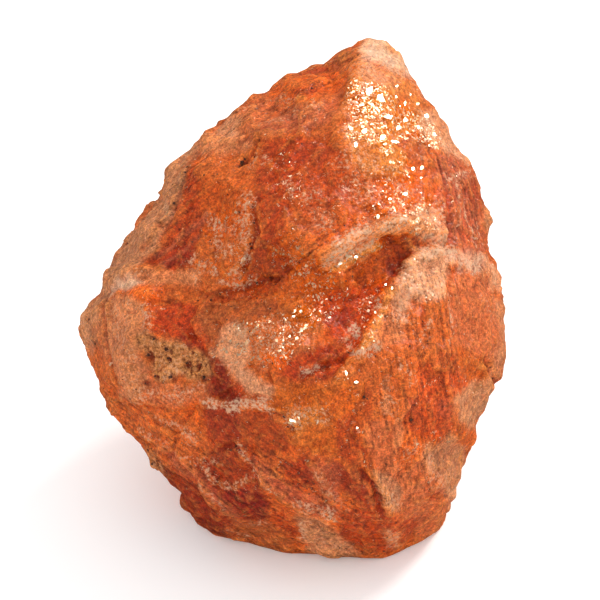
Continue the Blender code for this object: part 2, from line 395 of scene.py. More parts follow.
def sheetFrame(path, run):
    # the directions along and across the sheets' edges in that part of the stone, and outwards
    middle = onStone(*path[len(path) // 2])
    facing = restNormals[np.argmin(np.linalg.norm(rest - middle, axis=1))]
    along = viewRight * run[0] - viewUp * run[1]
    across = unit(np.cross(along, facing))
    return unit(along), across, facing


def splitIntoSheets():
    # pulls points to the nearest of many parallel planes, so the surface drops in steps, and
    # cuts fine grooves along the steps
    moved = np.zeros_like(rest)
    width, length, depth = stone["groove"]
    for number, (path, radius, run, sheet, strength) in enumerate(sheets):
        along, across, facing = sheetFrame(path, run)
        share = strength * strokeShare(path, radius, number, edge=1.0)
        split = across * 0.55 + facing * 0.83
        for part in (1.0, 0.45):
            level = rest @ split / (sheet * part) + 0.5 * cloud(rest, 5.0 * part, 300 + number)
            tread = level - np.floor(level)
            drop = smooth(tread, 0.0, 0.85) - tread
            moved += split * (drop * sheet * part * share)[:, None] * 0.5
        lined = np.stack([rest @ across / width, rest @ along / length, rest @ facing / 2], -1)
        moved += restNormals * (depth * share * cloud(lined, 1.0, 340 + number))[:, None]
    return moved


def reliefOf():
    # flat faces, chips, bumps and knobs everywhere, the knobs taller where the stone turns away
    # from the picture, then the ridges, crevices and pits of the picture
    bent = rest + 0.5 * drift(rest, 6.0, 31)
    height = np.zeros(len(rest))
    for number, (size, tall) in enumerate(stone["faces"]):
        height += tall * flatNoise(bent, size, 40 + number)
    for number, (size, tilt) in enumerate(stone["chips"]):
        height += tilt * chips(bent, size, 60 + 10 * number)[0]
    size, tall = stone["bump"]
    height += tall * cloud(rest, size, 80)
    size, tall = stone["cobble"]
    turnedAway = 1.4 - smooth(restNormals @ viewOut, 0, 0.5)
    height += tall * (0.5 - chips(bent, size, 90)[2]) * turnedAway
    for number, (path, radius, tall) in enumerate(ridges + crevices):
        height += stone["carving"] * tall * strokeShare(path, radius, number, edge=1.3)
    for x, y, radius in pits:
        height -= 0.09 * radius * strokeShare([(x, y)], radius, 0, edge=0.8, ragged=0.2)
    return height


def stoneSurface():
    free = smooth(rest[:, 2], 0.05, stone["flatBelow"])[:, None]
    moved = rest + (splitIntoSheets() + restNormals * reliefOf()[:, None]) * free
    for x, y, length, width, _ in plates["placed"]:
        spot = moved[np.argmin(np.linalg.norm(rest - onStone(x, y), axis=1))]
        size = (length + width) / 4 * picture["pixel"]
        share = smooth(-np.linalg.norm(moved - spot, axis=1), -1.5 * size, -0.9 * size)
        moved -= flashFacing * ((moved - spot) @ flashFacing * share)[:, None]
    low, high = np.array(cadLow) / mm, np.array(cadHigh) / mm
    return np.clip(moved, low - (0.6, 0.6, 0.0), high + (0.6, 0.6, 0.6))


points = stoneSurface()
normals = normalsOf(points, quads)
stoneTree = BVHTree.FromPolygons((points * mm).tolist(), quads.tolist())
print("stone surface", len(quads) * 2, "triangles")


def pictured(red, green, blue):
    # picture colour values to the linear ones that materials use, less the shine over them
    value = np.array((red, green, blue)) / 255
    value = np.where(value <= 0.04045, value / 12.92, ((value + 0.055) / 1.055) ** 2.4)
    return np.clip(value - 0.016, 0.001, 1) * (0.90, 0.84, 0.74)


palette = {
    "ember": pictured(134, 36, 6),
    "rust": pictured(152, 50, 10),
    "brick": pictured(164, 66, 22),
    "deep": pictured(182, 68, 14),
    "red": pictured(198, 70, 16),
    "orange": pictured(204, 90, 26),
    "amber": pictured(200, 98, 36),
    "warm": pictured(208, 104, 50),
    "bright": pictured(232, 102, 24),
    "gold": pictured(232, 146, 74),
    "salmon": pictured(206, 112, 70),
    "dull": pictured(180, 96, 56),
    "plum": pictured(182, 92, 66),
    "tan": pictured(202, 142, 104),
    "peach": pictured(228, 146, 98),
    "pale": pictured(228, 168, 130),
    "blush": pictured(232, 196, 170),
    "crust": pictured(188, 130, 84),
    "brown": pictured(84, 34, 10),
}

# faces and stains by colour, strength and outline on the picture
areas = [
    # left rim and strip
    ("tan", 0.9, [(198, 132), (176, 158), (156, 198), (140, 224), (124, 240), (108, 262),
                  (98, 292), (106, 300), (114, 290), (128, 272), (140, 262), (152, 250),
                  (165, 228), (174, 205), (180, 185), (190, 165), (200, 148)]),
    ("deep", 0.95, [(196, 160), (202, 190), (200, 225), (198, 240), (190, 262), (178, 270),
                    (162, 268), (146, 258), (160, 245), (172, 215), (178, 195), (186, 172)]),
    ("ember", 0.6, [(180, 240), (192, 238), (196, 252), (184, 266), (160, 264), (170, 252)]),
    # upper left
    ("peach", 0.85, [(200, 132), (222, 124), (236, 112), (250, 110), (245, 130), (252, 146),
                     (240, 152), (222, 156), (204, 158), (198, 148)]),
    ("pale", 0.6, [(216, 126), (236, 114), (236, 134), (222, 138)]),
    ("warm", 0.75, [(198, 158), (222, 156), (250, 150), (258, 165), (256, 180), (240, 186),
                    (222, 182), (206, 176)]),
    ("orange", 0.85, [(204, 178), (240, 186), (256, 192), (250, 212), (236, 232), (215, 236),
                      (200, 230), (198, 205)]),
    ("salmon", 0.8, [(236, 112), (252, 98), (268, 92), (282, 94), (300, 100), (330, 100),
                     (345, 90), (352, 110), (330, 122), (300, 128), (268, 136), (250, 140)]),
    ("plum", 0.5, [(262, 120), (300, 112), (330, 112), (320, 126), (280, 132), (262, 134)]),
    ("dull", 0.75, [(286, 80), (308, 62), (330, 48), (350, 44), (362, 48), (358, 64), (340, 66),
                    (310, 72), (290, 82)]),
    ("bright", 0.8, [(270, 90), (290, 80), (310, 76), (345, 70), (348, 84), (325, 94), (310, 102),
                     (290, 106), (276, 98)]),
    ("deep", 0.7, [(292, 84), (312, 80), (322, 88), (312, 96), (298, 94)]),
    ("warm", 0.6, [(345, 66), (362, 62), (364, 90), (358, 112), (346, 120), (338, 105)]),
    # tip
    ("blush", 0.85, [(360, 48), (368, 34), (394, 38), (406, 52), (416, 76), (402, 78), (388, 66),
                     (374, 66), (362, 62)]),
    ("peach", 0.8, [(362, 62), (376, 66), (390, 68), (402, 80), (392, 90), (378, 84), (364, 92),
                    (356, 84)]),
    ("gold", 0.7, [(384, 42), (398, 46), (398, 54), (386, 52)]),
    # sparkling face and right edge
    ("gold", 0.6, [(364, 90), (392, 86), (412, 82), (428, 98), (432, 110), (420, 122), (405, 134),
                   (396, 150), (370, 150), (352, 152), (346, 128), (356, 108)]),
    ("bright", 0.5, [(384, 104), (404, 98), (410, 112), (398, 124), (384, 120)]),
    ("warm", 0.7, [(414, 80), (428, 96), (440, 112), (430, 116), (418, 98)]),
    ("pale", 0.75, [(420, 112), (436, 108), (450, 130), (462, 150), (474, 166), (452, 160),
                    (436, 148), (424, 136), (414, 128)]),
    ("dull", 0.7, [(408, 140), (420, 136), (430, 146), (420, 156), (408, 152)]),
    ("gold", 0.7, [(350, 150), (372, 150), (400, 148), (412, 160), (404, 175), (385, 178),
                   (365, 176), (352, 166)]),
    ("bright", 0.6, [(385, 178), (404, 175), (420, 165), (430, 182), (440, 205), (430, 212),
                     (412, 205), (396, 215), (384, 205), (378, 190)]),
    ("deep", 0.7, [(300, 138), (345, 150), (352, 166), (350, 185), (345, 215), (320, 225),
                   (300, 215), (290, 190), (285, 160)]),
    ("deep", 0.9, [(262, 140), (300, 132), (302, 160), (292, 200), (284, 240), (262, 240),
                   (255, 200), (256, 180), (262, 160)]),
    ("rust", 0.5, [(300, 138), (324, 142), (318, 160), (300, 158)]),
    ("orange", 0.8, [(330, 205), (365, 190), (382, 200), (378, 215), (350, 226), (325, 240),
                     (305, 240), (318, 222)]),
    ("salmon", 0.6, [(306, 205), (330, 212), (336, 222), (314, 226)]),
    # plum edge on the right
    ("plum", 0.9, [(440, 155), (456, 158), (466, 170), (482, 176), (492, 196), (482, 215),
                   (486, 250), (470, 255), (455, 252), (448, 240), (444, 215), (440, 190),
                   (432, 172)]),
    ("red", 0.6, [(434, 192), (450, 192), (454, 214), (444, 218)]),
    ("brick", 0.6, [(462, 176), (482, 178), (490, 200), (478, 212), (468, 205), (462, 190)]),
    ("tan", 0.8, [(484, 196), (494, 206), (500, 222), (492, 236), (484, 220)]),
    # ledge, recess and lip
    ("peach", 0.85, [(322, 264), (322, 250), (340, 236), (362, 226), (392, 217), (406, 213),
                     (404, 224), (384, 232), (374, 242), (372, 256), (352, 264), (338, 272)]),
    ("pale", 0.65, [(404, 214), (430, 205), (440, 215), (448, 238), (440, 248), (424, 240),
                    (408, 232)]),
    ("brick", 0.85, [(374, 248), (392, 236), (412, 236), (422, 250), (404, 264), (400, 276),
                     (390, 282), (384, 264)]),
    ("ember", 0.7, [(386, 258), (402, 256), (402, 274), (394, 282), (387, 272)]),
    ("pale", 0.85, [(404, 264), (420, 250), (440, 246), (452, 256), (446, 275), (444, 300),
                    (430, 302), (412, 300), (408, 318), (396, 312), (392, 298), (398, 280)]),
    ("blush", 0.5, [(446, 250), (470, 252), (484, 256), (480, 272), (466, 272), (452, 262)]),
    ("pale", 0.7, [(484, 254), (500, 270), (502, 294), (488, 288), (480, 272)]),
    # right face
    ("salmon", 0.85, [(446, 275), (478, 272), (488, 288), (504, 300), (512, 330), (512, 356),
                      (490, 364), (470, 350), (450, 345), (446, 310)]),
    ("tan", 0.6, [(494, 296), (512, 310), (514, 360), (500, 384), (490, 374), (500, 340)]),
    ("warm", 0.85, [(412, 300), (446, 300), (452, 345), (456, 365), (440, 375), (418, 360),
                    (404, 345), (398, 325)]),
    ("peach", 0.6, [(380, 318), (396, 305), (408, 318), (404, 340), (384, 346), (366, 348),
                    (372, 332)]),
    ("warm", 0.85, [(352, 358), (372, 348), (404, 345), (418, 362), (412, 380), (400, 400),
                    (404, 415), (392, 420), (372, 420), (362, 400), (350, 385)]),
    ("red", 0.6, [(418, 362), (440, 375), (460, 370), (470, 384), (452, 396), (448, 410),
                  (452, 425), (440, 440), (424, 440), (408, 430), (404, 412), (414, 398),
                  (418, 380)]),
    ("brick", 0.5, [(440, 352), (460, 350), (464, 368), (450, 376), (440, 368)]),
    ("plum", 0.6, [(402, 398), (418, 396), (416, 414), (404, 414)]),
    ("plum", 0.5, [(434, 398), (450, 398), (450, 420), (436, 418)]),
    ("amber", 0.6, [(460, 352), (492, 362), (486, 378), (470, 382)]),
    # lower right
    ("tan", 0.9, [(452, 398), (470, 384), (490, 379), (498, 392), (490, 408), (480, 420),
                  (472, 432), (460, 424), (454, 412)]),
    ("orange", 0.6, [(458, 424), (478, 428), (476, 446), (462, 448)]),
    ("tan", 0.8, [(440, 440), (452, 430), (462, 448), (470, 474), (462, 488), (450, 495),
                  (440, 480), (428, 470), (420, 455), (424, 446)]),
    ("bright", 0.7, [(396, 440), (410, 432), (424, 440), (420, 452), (408, 456), (398, 452)]),
    ("salmon", 0.8, [(372, 420), (392, 420), (400, 440), (396, 456), (404, 475), (402, 490),
                     (385, 478), (374, 462), (366, 440)]),
    ("tan", 0.85, [(374, 470), (388, 474), (402, 490), (400, 506), (388, 508), (380, 500),
                   (376, 486)]),
    ("salmon", 0.8, [(404, 475), (420, 460), (440, 480), (448, 495), (430, 500), (420, 510),
                     (408, 512), (402, 500)]),
    ("deep", 0.7, [(428, 494), (444, 490), (446, 500), (432, 504)]),
    ("salmon", 0.7, [(400, 512), (430, 502), (452, 500), (452, 520), (444, 536), (420, 540),
                     (400, 530)]),
    ("pale", 0.7, [(446, 490), (462, 482), (464, 500), (452, 512)]),
    ("deep", 0.9, [(340, 510), (376, 500), (384, 512), (400, 518), (418, 520), (412, 536),
                   (390, 556), (370, 552), (345, 545), (336, 530)]),
    ("peach", 0.6, [(386, 532), (398, 530), (402, 546), (388, 548)]),
    # middle bottom
    ("rust", 0.85, [(336, 462), (356, 468), (372, 480), (380, 494), (378, 506), (356, 500),
                    (342, 488), (334, 474)]),
    ("plum", 0.85, [(248, 455), (262, 460), (285, 478), (300, 492), (322, 500), (342, 506),
                    (338, 516), (316, 516), (296, 508), (282, 494), (264, 476)]),
    ("rust", 0.85, [(284, 462), (310, 454), (316, 466), (314, 488), (302, 494), (290, 480)]),
    ("plum", 0.8, [(316, 456), (336, 462), (342, 488), (336, 500), (318, 494), (314, 474)]),
    ("tan", 0.85, [(298, 514), (320, 520), (336, 530), (345, 546), (366, 560), (340, 562),
                   (310, 556), (300, 536)]),
    ("dull", 0.8, [(214, 532), (240, 524), (262, 516), (280, 530), (296, 540), (290, 554),
                   (262, 550), (236, 544)]),
    ("deep", 0.8, [(270, 508), (292, 510), (298, 530), (294, 542), (280, 530), (268, 518)]),
    # lower left
    ("rust", 0.8, [(200, 440), (250, 450), (262, 476), (272, 500), (266, 520), (240, 522),
                   (222, 506), (206, 480), (196, 460)]),
    ("ember", 0.8, [(212, 490), (236, 488), (262, 490), (272, 500), (264, 516), (246, 512),
                    (226, 506)]),
    ("brick", 0.6, [(216, 462), (236, 455), (256, 462), (262, 476), (250, 484), (226, 484)]),
    ("rust", 0.95, [(160, 462), (180, 468), (198, 486), (212, 505), (228, 520), (234, 532),
                    (214, 540), (190, 526), (176, 505), (168, 488), (160, 476)]),
    ("plum", 0.8, [(164, 446), (186, 456), (204, 470), (220, 492), (234, 512), (240, 524),
                   (228, 520), (210, 500), (196, 482), (178, 466)]),
    ("crust", 0.7, [(142, 444), (156, 450), (164, 462), (168, 476), (154, 478), (144, 462)]),
    ("warm", 0.85, [(102, 392), (122, 404), (150, 410), (180, 420), (204, 436), (216, 450),
                    (204, 460), (180, 450), (160, 440), (138, 436), (118, 424), (104, 408)]),
    ("bright", 0.7, [(178, 398), (200, 400), (204, 420), (186, 424), (176, 412)]),
    ("rust", 0.85, [(204, 402), (240, 404), (238, 430), (250, 450), (236, 452), (216, 448),
                    (202, 436), (204, 420)]),
    ("brick", 0.8, [(240, 410), (268, 414), (284, 424), (288, 450), (270, 458), (252, 450),
                    (240, 432)]),
    # middle
    ("amber", 0.85, [(268, 384), (300, 380), (330, 384), (350, 380), (356, 400), (340, 420),
                     (352, 440), (338, 456), (310, 452), (290, 440), (286, 420), (268, 408)]),
    ("gold", 0.5, [(288, 408), (318, 404), (324, 424), (300, 432)]),
    ("bright", 0.5, [(328, 392), (350, 388), (352, 408), (334, 412)]),
    ("deep", 0.8, [(340, 420), (356, 415), (362, 440), (372, 470), (350, 466), (336, 452)]),
    ("ember", 0.9, [(204, 384), (214, 356), (224, 358), (232, 378), (246, 398), (236, 405),
                    (216, 402), (204, 394)]),
    ("red", 0.7, [(236, 380), (246, 384), (244, 398), (234, 394)]),
    ("pale", 0.8, [(214, 352), (220, 328), (236, 322), (250, 330), (252, 350), (246, 366),
                   (262, 380), (278, 386), (270, 400), (250, 394), (238, 378), (228, 364)]),
    ("salmon", 0.8, [(250, 330), (270, 318), (300, 316), (316, 330), (308, 345), (300, 356),
                     (282, 362), (262, 372), (250, 362)]),
    ("dull", 0.7, [(222, 304), (260, 298), (290, 300), (300, 316), (270, 318), (250, 322),
                   (228, 322)]),
    ("dull", 0.8, [(196, 320), (206, 306), (222, 304), (226, 322), (214, 345), (204, 338)]),
    ("red", 0.9, [(272, 358), (300, 356), (318, 345), (340, 340), (352, 356), (330, 374),
                  (300, 380), (284, 376)]),
    ("rust", 0.5, [(306, 352), (336, 344), (344, 356), (320, 368)]),
    ("red", 0.9, [(318, 300), (340, 286), (372, 282), (394, 276), (392, 300), (382, 316),
                  (370, 336), (360, 348), (340, 340), (322, 335)]),
    ("ember", 0.5, [(326, 312), (352, 308), (350, 322), (330, 324)]),
    ("orange", 0.8, [(300, 262), (330, 270), (345, 272), (372, 258), (384, 264), (392, 280),
                     (372, 284), (340, 288), (318, 300), (304, 300), (296, 285)]),
    ("amber", 0.75, [(276, 292), (304, 300), (322, 315), (318, 330), (300, 330), (284, 318)]),
    ("brick", 0.9, [(245, 250), (262, 240), (282, 240), (296, 262), (290, 280), (270, 290),
                    (250, 286), (240, 270)]),
    ("warm", 0.8, [(200, 240), (236, 236), (250, 240), (244, 262), (230, 285), (205, 290),
                   (190, 280), (194, 258)]),
    ("deep", 0.8, [(226, 288), (256, 282), (280, 284), (266, 297), (236, 300), (212, 302)]),
    # left knob and lobe
    ("peach", 0.85, [(118, 286), (134, 270), (152, 266), (180, 270), (200, 272), (196, 290),
                     (176, 284), (156, 282), (140, 286)]),
    ("blush", 0.8, [(112, 292), (120, 280), (132, 274), (138, 282), (126, 292)]),
    ("warm", 0.8, [(156, 282), (176, 284), (200, 290), (204, 304), (190, 306), (172, 302),
                   (160, 298)]),
    ("bright", 0.95, [(126, 292), (136, 286), (154, 283), (164, 290), (160, 299), (142, 303),
                      (128, 300)]),
    ("red", 0.95, [(150, 306), (176, 302), (196, 308), (198, 322), (206, 340), (214, 354),
                   (202, 352), (188, 344), (172, 334), (152, 330), (146, 318)]),
    ("tan", 0.6, [(110, 296), (128, 298), (142, 304), (146, 330), (140, 350), (146, 372),
                  (150, 388), (138, 402), (122, 398), (116, 372), (106, 350), (102, 322)]),
    ("peach", 0.5, [(110, 296), (128, 298), (142, 304), (144, 322), (120, 330), (104, 324)]),
    ("warm", 0.8, [(84, 350), (104, 352), (116, 372), (122, 398), (108, 408), (98, 388),
                   (88, 370)]),
    ("tan", 0.9, [(74, 326), (80, 308), (94, 298), (106, 294), (102, 318), (100, 340), (90, 352),
                  (78, 344)]),
    ("dull", 0.6, [(92, 330), (104, 326), (106, 346), (94, 346)]),
    ("salmon", 0.8, [(150, 382), (170, 380), (204, 380), (206, 396), (190, 400), (170, 408),
                     (150, 404), (144, 392)]),
    ("crust", 0.95, [(136, 340), (146, 330), (156, 336), (168, 338), (186, 342), (200, 350),
                     (212, 362), (216, 374), (204, 380), (190, 374), (176, 372), (164, 382),
                     (152, 378), (148, 360), (142, 350)]),
]

# lines and spots of plain colour: colour, strength, radius, path
strokes = [
    ("plum", 0.75, 3.5, [(206, 214), (180, 236), (158, 252)]),
    ("plum", 0.7, 2.5, [(198, 236), (178, 254), (160, 262)]),
    ("plum", 0.6, 3, [(192, 160), (184, 184), (180, 200)]),
    ("gold", 0.6, 3, [(166, 182), (162, 194)]),
    ("dull", 0.7, 4, [(162, 224), (150, 240), (140, 250)]),
    ("pale", 0.7, 4, [(166, 206), (172, 214)]),
    ("brown", 0.6, 2.5, [(190, 164), (182, 176)]),
    ("gold", 0.8, 3, [(295, 99), (306, 97)]),
    ("rust", 0.6, 2.5, [(240, 142), (252, 138), (262, 128)]),
    ("rust", 0.6, 3, [(253, 206), (256, 234), (252, 254)]),
    ("deep", 0.7, 4, [(300, 73), (318, 66), (330, 64)]),
    ("bright", 0.8, 4, [(364, 222), (346, 231), (330, 238)]),
    ("bright", 0.7, 4, [(412, 186), (426, 180), (408, 164)]),
    ("bright", 0.7, 5, [(384, 208), (398, 212)]),
    ("gold", 0.8, 4, [(334, 268), (356, 258), (378, 246)]),
    ("gold", 0.7, 3, [(406, 240), (416, 252)]),
    ("gold", 0.8, 4, [(392, 292), (386, 306), (374, 326), (364, 342)]),
    ("bright", 0.7, 3, [(388, 290), (378, 312), (366, 330)]),
    ("red", 0.7, 4, [(382, 296), (374, 314), (366, 330)]),
    ("bright", 0.7, 5, [(270, 360), (282, 366), (288, 350)]),
    ("rust", 0.6, 4, [(296, 374), (318, 378), (340, 370)]),
    ("rust", 0.7, 3, [(372, 484), (382, 502), (385, 514)]),
    ("rust", 0.5, 3, [(222, 410), (232, 430), (240, 446)]),
    ("ember", 0.6, 3, [(190, 478), (204, 496), (214, 514)]),
    ("bright", 0.6, 3, [(150, 420), (172, 434), (180, 442)]),
    ("bright", 0.5, 4, [(100, 374), (108, 390)]),
    ("peach", 0.6, 4, [(386, 380), (388, 410)]),
    ("peach", 0.6, 4, [(400, 420), (398, 446)]),
    ("deep", 0.5, 4, [(368, 394), (372, 420)]),
    ("deep", 0.5, 4, [(424, 308), (428, 326)]),
    ("deep", 0.5, 4, [(406, 344), (416, 350)]),
    ("gold", 0.6, 4, [(456, 454), (462, 474)]),
    ("gold", 0.6, 3, [(482, 366), (494, 372)]),
    ("ember", 0.6, 4, [(182, 336), (192, 342)]),
]

# whitish veils of fine pale grains, a few of them painted glints: strength, radius, path
veilsAndGlints = [
    (0.9, 9, [(368, 50), (384, 60), (396, 68)]),
    (0.6, 8, [(404, 64), (412, 78), (418, 90)]),
    (0.6, 10, [(362, 72), (380, 80)]),
    (0.7, 8, [(424, 116), (432, 132), (444, 146)]),
    (0.6, 5, [(452, 150), (466, 164)]),
    (0.7, 4, [(450, 178), (468, 172)]),
    (0.6, 8, [(354, 126), (360, 142)]),
    (0.5, 12, [(352, 165), (386, 168), (404, 190)]),
    (0.5, 9, [(350, 182), (372, 196)]),
    (0.7, 7, [(418, 212), (432, 222), (440, 214)]),
    (0.9, 5, [(338, 244), (362, 234), (386, 226), (402, 220)]),
    (0.8, 5, [(330, 256), (352, 252), (372, 246)]),
    (0.8, 5, [(426, 236), (444, 240)]),
    (0.95, 6, [(422, 258), (436, 250), (452, 256)]),
    (0.7, 8, [(412, 272), (404, 290), (402, 312)]),
    (0.7, 5, [(418, 288), (432, 292), (440, 282)]),
    (0.9, 5, [(462, 262), (474, 268), (478, 256)]),
    (0.7, 2.5, [(464, 206), (469, 228), (474, 246)]),
    (0.7, 2.5, [(456, 180), (460, 206), (458, 230)]),
    (0.6, 2.5, [(476, 220), (482, 244)]),
    (0.7, 4, [(490, 268), (494, 286)]),
    (0.9, 4, [(354, 353), (366, 350), (374, 343)]),
    (0.95, 4, [(354, 324), (357, 332)]),
    (0.7, 4, [(348, 340), (352, 350)]),
    (0.7, 5, [(368, 300), (376, 308)]),
    (0.7, 2.5, [(448, 296), (452, 322), (451, 346)]),
    (0.7, 2.5, [(433, 322), (430, 330), (423, 338)]),
    (0.5, 5, [(404, 366), (412, 380)]),
    (0.9, 3, [(304, 372), (320, 368)]),
    (0.5, 9, [(262, 330), (278, 342), (266, 352)]),
    # painted glint
    (0.6, 7, [(240, 330), (250, 344)]),
    (0.4, 9, [(226, 348), (236, 366), (256, 384)]),
    (0.95, 3, [(206, 402), (220, 404)]),
    (0.95, 4, [(228, 408), (246, 402), (262, 403), (270, 411)]),
    # painted glint
    (0.8, 5, [(290, 421), (302, 419)]),
    (0.5, 7, [(300, 412), (322, 416)]),
    (0.7, 5, [(244, 198), (251, 200), (246, 212)]),
    (0.7, 6, [(240, 214), (246, 226), (243, 238)]),
    # painted glint
    (0.7, 5, [(210, 218), (217, 230)]),
    (0.6, 4, [(226, 226), (233, 232)]),
    (0.7, 4, [(214, 244), (217, 252)]),
    (0.7, 4, [(224, 252), (230, 250)]),
    (0.8, 4, [(240, 262), (248, 256)]),
    (0.7, 4, [(204, 264), (214, 270)]),
    (0.7, 4, [(232, 278), (238, 270)]),
    (0.7, 3, [(222, 282), (240, 286), (252, 280)]),
    (0.7, 4, [(188, 262), (194, 256)]),
    (0.6, 4, [(194, 272), (198, 280)]),
    (0.6, 4, [(264, 156), (268, 164)]),
    (0.6, 3, [(250, 166), (258, 152)]),
    (0.7, 4, [(286, 178), (288, 186)]),
    (0.6, 4, [(293, 194), (296, 198)]),
    (0.7, 4, [(306, 196), (308, 190)]),
    (0.5, 4, [(314, 186), (316, 194)]),
    (0.5, 7, [(312, 212), (326, 220)]),
    (0.6, 4, [(280, 98), (294, 96)]),
    (0.5, 5, [(262, 124), (290, 116), (318, 106)]),
    (0.5, 4, [(240, 110), (250, 106)]),
    (0.6, 5, [(112, 290), (124, 280), (140, 272)]),
    (0.8, 4, [(142, 308), (147, 318), (147, 328)]),
    (0.6, 4, [(128, 304), (130, 300)]),
    (0.5, 10, [(116, 312), (122, 336), (126, 352)]),
    (0.8, 3, [(112, 364), (114, 357)]),
    (0.5, 6, [(84, 316), (84, 340)]),
    (0.5, 8, [(130, 378), (140, 396)]),
    (0.7, 3, [(134, 402), (146, 396), (156, 388)]),
    (0.6, 5, [(164, 396), (186, 390), (196, 384)]),
    (0.5, 5, [(164, 376), (176, 366)]),
    (0.6, 3, [(140, 428), (172, 444), (196, 460)]),
    (0.6, 3, [(160, 420), (178, 430), (190, 436)]),
    (0.7, 5, [(186, 434), (192, 440)]),
    (0.7, 3, [(204, 460), (214, 478), (234, 487)]),
    (0.6, 2.5, [(236, 487), (250, 478), (262, 472)]),
    (0.5, 4, [(206, 462), (222, 462)]),
    (0.6, 2.5, [(196, 474), (212, 492), (224, 508)]),
    (0.6, 3, [(240, 446), (256, 468), (276, 490)]),
    (0.7, 4, [(296, 503), (318, 511), (334, 519)]),
    (0.5, 5, [(320, 470), (328, 490), (344, 504)]),
    (0.8, 3, [(327, 508), (330, 516)]),
    (0.7, 4, [(304, 522), (302, 538)]),
    (0.5, 5, [(316, 538), (344, 550)]),
    (0.5, 3, [(226, 528), (246, 536)]),
    (0.5, 4, [(252, 522), (264, 520)]),
    (0.6, 5, [(390, 534), (394, 546)]),
    (0.6, 6, [(382, 492), (396, 500)]),
    (0.6, 7, [(430, 460), (434, 474), (444, 484)]),
    (0.5, 5, [(408, 456), (414, 446)]),
    (0.6, 4, [(452, 506), (456, 490)]),
    (0.4, 6, [(462, 400), (470, 416)]),
    (0.4, 6, [(388, 386), (392, 410)]),
    (0.4, 6, [(484, 300), (494, 320)]),
]

# stretches of the surface that sparkle: strength, radius, path
sparkles = [
    (1.0, 26, [(370, 100), (395, 120), (425, 132)]),
    (0.9, 14, [(360, 130), (385, 142)]),
    (0.7, 24, [(400, 170), (390, 205), (425, 215)]),
    (0.9, 12, [(328, 262), (350, 256), (378, 246)]),
    (0.9, 22, [(245, 340), (280, 345), (300, 320)]),
    (0.7, 20, [(290, 250), (310, 280), (330, 300)]),
    (0.6, 18, [(215, 225), (240, 215), (245, 260)]),
    (0.6, 12, [(228, 284), (250, 284)]),
    (0.6, 12, [(290, 420), (322, 414)]),
    (0.5, 10, [(142, 305), (148, 322)]),
    (0.5, 18, [(280, 160), (290, 200)]),
    (0.5, 10, [(354, 385), (358, 436)]),
    (0.5, 10, [(418, 440), (446, 440)]),
    (0.6, 12, [(376, 290), (360, 340)]),
    (0.5, 12, [(410, 270), (425, 300)]),
    (0.4, 10, [(320, 490), (330, 515)]),
    (0.5, 10, [(204, 260), (236, 276)]),
]

ground = {
    "soft": 4.5,                      # how far an area's colour fades at its outline, in pixels
    "ragged": (2.6, 3.4),             # how far fine and coarse mottling push the outline
    "strength": 0.95,
    "pitDarkening": 0.85,
    "creviceDarkening": 0.3,
    "brighter": (1.3, 0.22),          # size and strength of the bright clouds
    "rustier": (1.0, 0.20),           # and of the rusty ones
    "ridgeHighlightHollowShade": [(3, 0.09), (20, 0.10)],  # smoothing passes, how strongly raised places get a painted golden highlight and hollows painted shade
    "backSizes": (6.5, 2.6),
    "backColours": ["rust", "deep", "red", "orange", "amber", "bright", "warm", "warm", "salmon",
                    "dull", "plum", "tan", "peach", "pale", "gold", "brick"],
}

inFront = smooth(restNormals @ viewOut, -0.12, 0.06)


def blend(colours, share, colour):
    return colours + share[:, None] * (colour - colours)


def picturePlaces():
    # where the picture shows each place of the stone, in pixels
    gap = paintPlaces - aim
    scale = picture["distance"] / (picture["distance"] - gap @ viewOut) / picture["pixel"]
    half = picture["width"] / 2
    return np.stack([half + gap @ viewRight * scale, half - gap @ viewUp * scale], -1)


onPicture = picturePlaces()


def areaShare(outline, number):
    # 1 inside the outline, 0 outside: the distance to its nearest side, with a sign from how many
    # sides lie to the right of the place, and a border that mottling pushes in and out
    away = np.full(len(onPicture), 1e9)
    inside = np.zeros(len(onPicture), bool)
    x, y = onPicture.T
    corners = np.array(outline, float)
    for start, end in zip(corners, np.roll(corners, -1, axis=0)):
        run = end - start
        along = np.clip((onPicture - start) @ run / (run @ run), 0, 1)
        away = np.minimum(away, np.linalg.norm(onPicture - start - along[:, None] * run, axis=1))
        crosses = (start[1] > y) != (end[1] > y)
        if run[1] != 0:
            inside ^= crosses & (x < start[0] + (y - start[1]) / run[1] * run[0])
    fine, coarse = ground["ragged"]
    ragged = (fine * mottles[0] + coarse * mottles[1]) * (1 if number % 2 else -1)
    away = np.where(inside, away, -away) + ragged
    return smooth(away, -ground["soft"], ground["soft"]) * inFront


def paintedBack():
    # the hidden side: every cell of two sizes has one of the stone's colours
    colours = palette["orange"] + np.zeros((len(rest), 1))
    names = np.array([palette[name] for name in ground["backColours"]])
    bent = rest + 1.2 * drift(rest, 4.0, 71)
    for number, size in enumerate(ground["backSizes"]):
        pick = chips(bent, size, 200 + 10 * number)[1]
        chosen = names[(pick * len(names)).astype(int) % len(names)]
        colours = colours + (0.75 - 0.35 * number) * (chosen - colours)
    return colours


